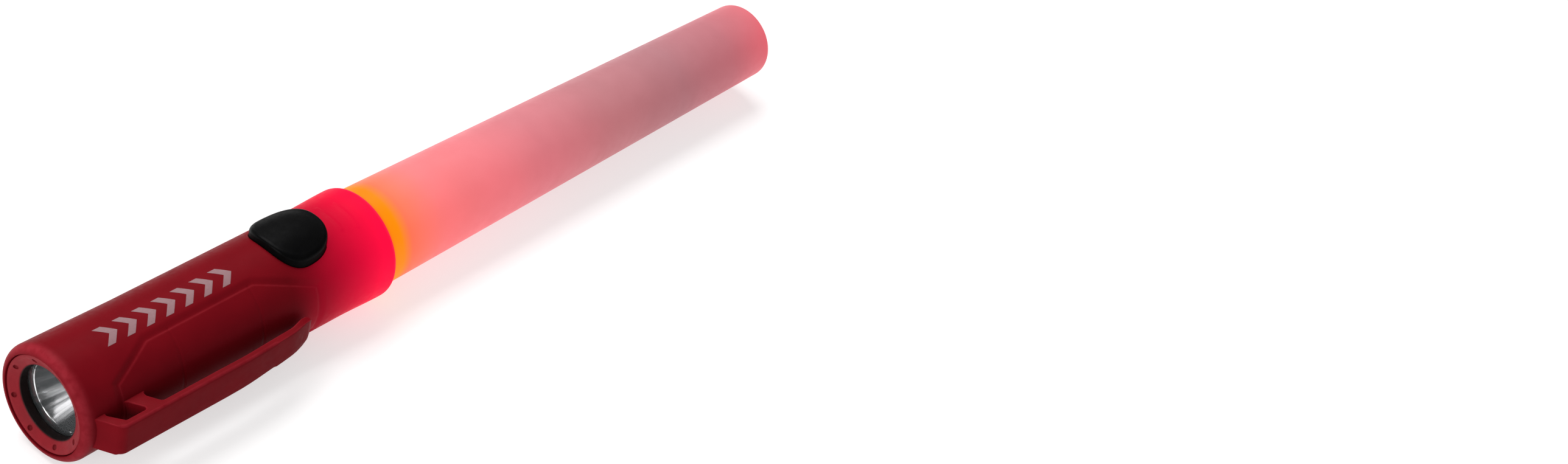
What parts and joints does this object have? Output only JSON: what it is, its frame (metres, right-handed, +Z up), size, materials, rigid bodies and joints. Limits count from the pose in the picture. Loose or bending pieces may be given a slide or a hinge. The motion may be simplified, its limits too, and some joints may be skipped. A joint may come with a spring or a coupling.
{
  "type": "traffic baton light",
  "caption": "Hand-held traffic baton: a torch with a reflector at one end of a red battery body with button and belt clip, and a long frosted light wand at the other.",
  "frame": {"origin": "centre of the whole baton's box, on the ground it lies on", "axes": "+X along the baton from the torch head to the tip of the wand, +Z up through the middle of the button, belt clip on the -Y side"},
  "size_m": [0.2826, 0.0388, 0.0353],
  "materials": {
    "red_body": "translucent red, satin moulded, lit from inside behind the button",
    "red_ring": "satin moulded red",
    "clear_lens": "clear, polished",
    "seal_rubber": "matt black",
    "reflector_chrome": "mirror-bright vacuum-metallised bowl",
    "led_phosphor": "yellow phosphor under a clear dome",
    "circuit_board": "green solder mask",
    "sink_aluminium": "turned",
    "spring_steel": "nickel-plated wire",
    "contact_brass": "plated strip",
    "black_plastic": "moulded",
    "white_plastic": "moulded",
    "button_rubber": "soft black, fine matt",
    "frosted_wand": "frosted translucent tube glowing red from its base, orange at the collar",
    "led_red": "lit red-orange",
    "cell_wrap": "plain shrink sleeve"
  },
  "bodies": {
    "body": {"body_shell": "red_body", "bezel_ring": "red_ring", "front_lens": "clear_lens", "lens_seal": "seal_rubber", "reflector": "reflector_chrome", "front_led": "led_phosphor", "front_led_board": "circuit_board", "heat_sink": "sink_aluminium", "front_contact_board": "circuit_board", "front_contact_spring": "spring_steel", "contact_strip": "contact_brass", "switch_board": "circuit_board", "tact_switch": "black_plastic"},
    "button": {"button": "button_rubber"},
    "plunger": {"switch_plunger": "white_plastic"},
    "clip": {"clip_arm": "red_body"},
    "wand": {"wand_tube": "frosted_wand", "tip_reflector": "white_plastic", "wand_plug": "white_plastic", "wand_seal": "seal_rubber", "wand_light_board": "circuit_board", "wand_led": "led_red", "wand_contact_spring": "spring_steel"},
    "carrier": {"carrier_frame": "black_plastic", "cell_1": "cell_wrap", "cell_spring_1": "spring_steel", "contact_tab_1": "contact_brass", "cell_2": "cell_wrap", "cell_spring_2": "spring_steel", "contact_tab_2": "contact_brass", "cell_3": "cell_wrap", "cell_spring_3": "spring_steel", "contact_tab_3": "contact_brass"}
  },
  "joints": [
    {"name": "button_press", "type": "slide", "parent": "body", "child": "button", "axis": [0, 0, -1], "range_m": [0, 0.0008], "stiffness_N_per_m": 2000},
    {"name": "plunger_press", "type": "slide", "parent": "body", "child": "plunger", "axis": [0, 0, -1], "range_m": [0, 0.00056]},
    {"name": "clip_flex", "type": "hinge", "parent": "body", "child": "clip", "pos_m": [-0.11915, -0.01835, 0.0163], "axis": [0, 0, -1], "range_deg": [0, 5], "stiffness_Nm_per_rad": 2},
    {"name": "wand_pull", "type": "slide", "parent": "body", "child": "wand", "axis": [1, 0, 0], "range_m": [0, 0.045]},
    {"name": "carrier_slide", "type": "slide", "parent": "body", "child": "carrier", "axis": [1, 0, 0], "range_m": [0, 0.0225]}
  ],
  "couplings": [
    {"joint": "plunger_press", "follows": "button_press", "ratio": 0.7},
    {"joint": "carrier_slide", "follows": "wand_pull", "ratio": 0.5}
  ]
}
